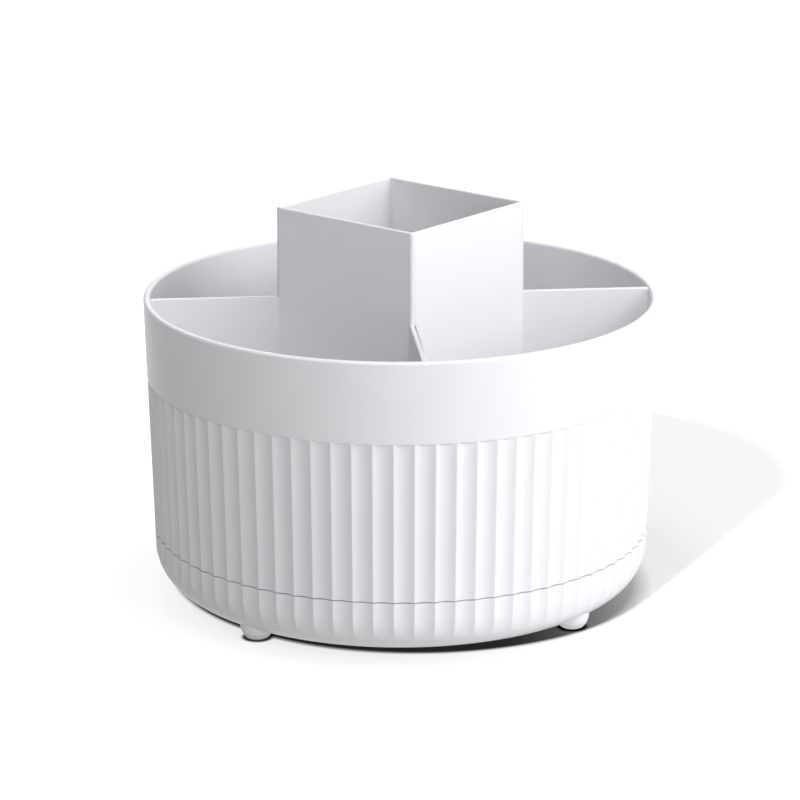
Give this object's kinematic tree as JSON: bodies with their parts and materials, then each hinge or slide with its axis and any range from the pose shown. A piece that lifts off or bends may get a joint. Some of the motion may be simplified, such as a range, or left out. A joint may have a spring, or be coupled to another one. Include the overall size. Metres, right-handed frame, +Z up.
{
  "type": "rotating makeup brush holder",
  "caption": "Round fluted pot that turns on a low base, with a tall square centre tube and thin fins that part it into open compartments.",
  "frame": {"origin": "on the table, under the axis on which the drum turns", "axes": "+Z up; the centre tube's faces look along X and Y, its fins lie on the diagonals"},
  "size_m": [0.15, 0.15, 0.115],
  "materials": {
    "shell_white": "semi-gloss moulded, white",
    "foot_rubber": "matte, milky white",
    "race_steel": "turned, satin",
    "ball_steel": "polished",
    "screw_steel": "zinc plated",
    "cage_plastic": "matte, dark grey nylon",
    "bush_plastic": "natural acetal"
  },
  "bodies": {
    "base": {"base_dish": "shell_white", "lower_race": "race_steel", "pivot_bush": "bush_plastic", "foot_pad_1": "foot_rubber", "foot_pad_2": "foot_rubber", "foot_pad_3": "foot_rubber", "foot_pad_4": "foot_rubber"},
    "cage": {"ball_cage": "cage_plastic", "bearing_ball_01": "ball_steel", "bearing_ball_02": "ball_steel", "bearing_ball_03": "ball_steel", "bearing_ball_04": "ball_steel", "bearing_ball_05": "ball_steel", "bearing_ball_06": "ball_steel", "bearing_ball_07": "ball_steel", "bearing_ball_08": "ball_steel", "bearing_ball_09": "ball_steel", "bearing_ball_10": "ball_steel", "bearing_ball_11": "ball_steel", "bearing_ball_12": "ball_steel"},
    "drum": {"drum_shell": "shell_white", "upper_race": "race_steel", "retaining_washer": "race_steel", "pivot_screw": "screw_steel"},
    "partition": {"centre_partition": "shell_white"}
  },
  "joints": [
    {"name": "drum_spin", "type": "hinge", "parent": "base", "child": "drum", "pos_m": [0, 0, 0.0104], "axis": [0, 0, 1], "continuous": true},
    {"name": "cage_spin", "type": "hinge", "parent": "base", "child": "cage", "pos_m": [0, 0, 0.01055], "axis": [0, 0, 1], "continuous": true},
    {"name": "partition_lift", "type": "slide", "parent": "drum", "child": "partition", "axis": [0, 0, 1], "range_m": [0, 0.09]}
  ],
  "couplings": [
    {"joint": "cage_spin", "follows": "drum_spin", "ratio": 0.5}
  ]
}
